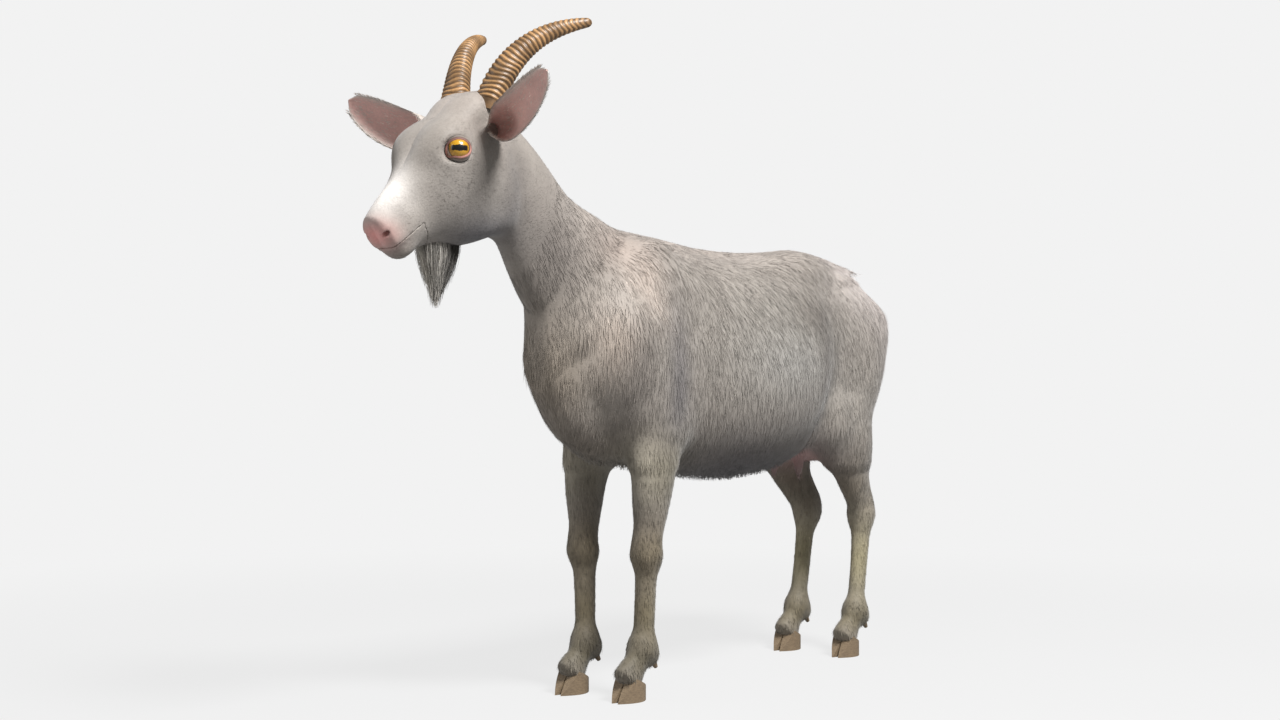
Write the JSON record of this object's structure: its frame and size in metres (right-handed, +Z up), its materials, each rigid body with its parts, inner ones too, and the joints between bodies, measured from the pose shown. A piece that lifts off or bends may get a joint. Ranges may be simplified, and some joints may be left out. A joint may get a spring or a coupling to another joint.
{
  "type": "standing nanny goat",
  "caption": "Life-size standing nanny goat figure with back-swept horns, beard, udder and cloven hooves, jointed at neck, head, jaw, ears, eyes, tail and legs.",
  "frame": {"origin": "on the ground under the middle of the whole animal's box", "axes": "+Z up, the goat faces -Y, its left side is +X"},
  "size_m": [0.4012, 1.2397, 1.0172],
  "materials": {
    "body_coat": "short lying hair, warm grey",
    "leg_coat": "short lying hair, brown grey",
    "beard_hair": "long coarse hair",
    "horn": "ringed horn, satin",
    "hoof_horn": "hard hoof horn, satin",
    "bare_skin": "bare pink skin",
    "udder_skin": "thinly haired pink skin",
    "tooth": "enamel",
    "eye_white": "wet",
    "iris": "amber",
    "cornea": "clear, wet"
  },
  "bodies": {
    "trunk": {"trunk": "body_coat", "udder": "udder_skin"},
    "neck": {"neck": "body_coat"},
    "head": {"head": "body_coat", "nose_pad": "bare_skin", "left_horn": "horn", "right_horn": "horn"},
    "jaw": {"jaw": "body_coat", "tongue": "bare_skin", "lower_incisors": "tooth", "beard": "beard_hair"},
    "tail": {"tail": "body_coat"},
    "left_ear": {"left_ear": "body_coat"},
    "left_eye": {"left_eyeball": "eye_white", "left_iris": "iris", "left_cornea": "cornea"},
    "left_shoulder": {"left_shoulder": "body_coat"},
    "left_forearm": {"left_forearm": "leg_coat"},
    "left_fore_cannon": {"left_fore_cannon": "leg_coat"},
    "left_fore_foot": {"left_fore_pastern": "leg_coat", "left_fore_dewclaws": "hoof_horn", "left_fore_hoof": "hoof_horn"},
    "left_thigh": {"left_thigh": "body_coat"},
    "left_gaskin": {"left_gaskin": "leg_coat"},
    "left_hind_cannon": {"left_hind_cannon": "leg_coat"},
    "left_hind_foot": {"left_hind_pastern": "leg_coat", "left_hind_dewclaws": "hoof_horn", "left_hind_hoof": "hoof_horn"},
    "right_ear": {"right_ear": "body_coat"},
    "right_eye": {"right_eyeball": "eye_white", "right_iris": "iris", "right_cornea": "cornea"},
    "right_shoulder": {"right_shoulder": "body_coat"},
    "right_forearm": {"right_forearm": "leg_coat"},
    "right_fore_cannon": {"right_fore_cannon": "leg_coat"},
    "right_fore_foot": {"right_fore_pastern": "leg_coat", "right_fore_dewclaws": "hoof_horn", "right_fore_hoof": "hoof_horn"},
    "right_thigh": {"right_thigh": "body_coat"},
    "right_gaskin": {"right_gaskin": "leg_coat"},
    "right_hind_cannon": {"right_hind_cannon": "leg_coat"},
    "right_hind_foot": {"right_hind_pastern": "leg_coat", "right_hind_dewclaws": "hoof_horn", "right_hind_hoof": "hoof_horn"}
  },
  "joints": [
    {"name": "neck_pitch", "type": "hinge", "parent": "trunk", "child": "neck", "pos_m": [0, -0.188, 0.612], "axis": [1, 0, 0], "range_deg": [-8, 22]},
    {"name": "head_nod", "type": "hinge", "parent": "neck", "child": "head", "pos_m": [0, -0.385, 0.826], "axis": [-1, 0, 0], "range_deg": [-12, 15]},
    {"name": "jaw_open", "type": "hinge", "parent": "head", "child": "jaw", "pos_m": [0, -0.44442, 0.79123], "axis": [1, 0, 0], "range_deg": [0, 16]},
    {"name": "tail_lift", "type": "hinge", "parent": "trunk", "child": "tail", "pos_m": [0, 0.578, 0.668], "axis": [1, 0, 0], "range_deg": [0, 60]},
    {"name": "left_ear_turn", "type": "hinge", "parent": "head", "child": "left_ear", "pos_m": [0.048, -0.431, 0.846], "axis": [0.886, -0.2875, 0.3638], "range_deg": [-30, 30]},
    {"name": "left_eye_turn", "type": "hinge", "parent": "head", "child": "left_eye", "pos_m": [0.052, -0.505, 0.809], "axis": [0, 0, 1], "range_deg": [-15, 15]},
    {"name": "left_shoulder_swing", "type": "hinge", "parent": "trunk", "child": "left_shoulder", "pos_m": [0.072, -0.062, 0.622], "axis": [1, 0, 0], "range_deg": [-10, 10]},
    {"name": "left_elbow_bend", "type": "hinge", "parent": "left_shoulder", "child": "left_forearm", "pos_m": [0.072, -0.084, 0.402], "axis": [1, 0, 0], "range_deg": [-50, 5]},
    {"name": "left_knee_bend", "type": "hinge", "parent": "left_forearm", "child": "left_fore_cannon", "pos_m": [0.065, -0.107, 0.222], "axis": [1, 0, 0], "range_deg": [0, 75]},
    {"name": "left_fore_fetlock_bend", "type": "hinge", "parent": "left_fore_cannon", "child": "left_fore_foot", "pos_m": [0.058, -0.109, 0.076], "axis": [1, 0, 0], "range_deg": [-15, 50]},
    {"name": "left_hip_swing", "type": "hinge", "parent": "trunk", "child": "left_thigh", "pos_m": [0.08, 0.492, 0.598], "axis": [1, 0, 0], "range_deg": [-14, 14]},
    {"name": "left_stifle_bend", "type": "hinge", "parent": "left_thigh", "child": "left_gaskin", "pos_m": [0.08, 0.42, 0.408], "axis": [1, 0, 0], "range_deg": [-8, 35]},
    {"name": "left_hock_bend", "type": "hinge", "parent": "left_gaskin", "child": "left_hind_cannon", "pos_m": [0.06, 0.521, 0.25], "axis": [1, 0, 0], "range_deg": [-50, 8]},
    {"name": "left_hind_fetlock_bend", "type": "hinge", "parent": "left_hind_cannon", "child": "left_hind_foot", "pos_m": [0.063, 0.494, 0.076], "axis": [1, 0, 0], "range_deg": [-15, 50]},
    {"name": "right_ear_turn", "type": "hinge", "parent": "head", "child": "right_ear", "pos_m": [-0.048, -0.431, 0.846], "axis": [0.886, 0.2875, -0.3638], "range_deg": [-30, 30]},
    {"name": "right_eye_turn", "type": "hinge", "parent": "head", "child": "right_eye", "pos_m": [-0.052, -0.505, 0.809], "axis": [0, 0, 1], "range_deg": [-15, 15]},
    {"name": "right_shoulder_swing", "type": "hinge", "parent": "trunk", "child": "right_shoulder", "pos_m": [-0.072, -0.062, 0.622], "axis": [1, 0, 0], "range_deg": [-10, 10]},
    {"name": "right_elbow_bend", "type": "hinge", "parent": "right_shoulder", "child": "right_forearm", "pos_m": [-0.072, -0.084, 0.402], "axis": [1, 0, 0], "range_deg": [-50, 5]},
    {"name": "right_knee_bend", "type": "hinge", "parent": "right_forearm", "child": "right_fore_cannon", "pos_m": [-0.065, -0.107, 0.222], "axis": [1, 0, 0], "range_deg": [0, 75]},
    {"name": "right_fore_fetlock_bend", "type": "hinge", "parent": "right_fore_cannon", "child": "right_fore_foot", "pos_m": [-0.058, -0.109, 0.076], "axis": [1, 0, 0], "range_deg": [-15, 50]},
    {"name": "right_hip_swing", "type": "hinge", "parent": "trunk", "child": "right_thigh", "pos_m": [-0.08, 0.492, 0.598], "axis": [1, 0, 0], "range_deg": [-14, 14]},
    {"name": "right_stifle_bend", "type": "hinge", "parent": "right_thigh", "child": "right_gaskin", "pos_m": [-0.08, 0.42, 0.408], "axis": [1, 0, 0], "range_deg": [-8, 35]},
    {"name": "right_hock_bend", "type": "hinge", "parent": "right_gaskin", "child": "right_hind_cannon", "pos_m": [-0.06, 0.521, 0.25], "axis": [1, 0, 0], "range_deg": [-50, 8]},
    {"name": "right_hind_fetlock_bend", "type": "hinge", "parent": "right_hind_cannon", "child": "right_hind_foot", "pos_m": [-0.063, 0.494, 0.076], "axis": [1, 0, 0], "range_deg": [-15, 50]}
  ],
  "couplings": [
    {"joint": "right_eye_turn", "follows": "left_eye_turn", "ratio": 1}
  ]
}
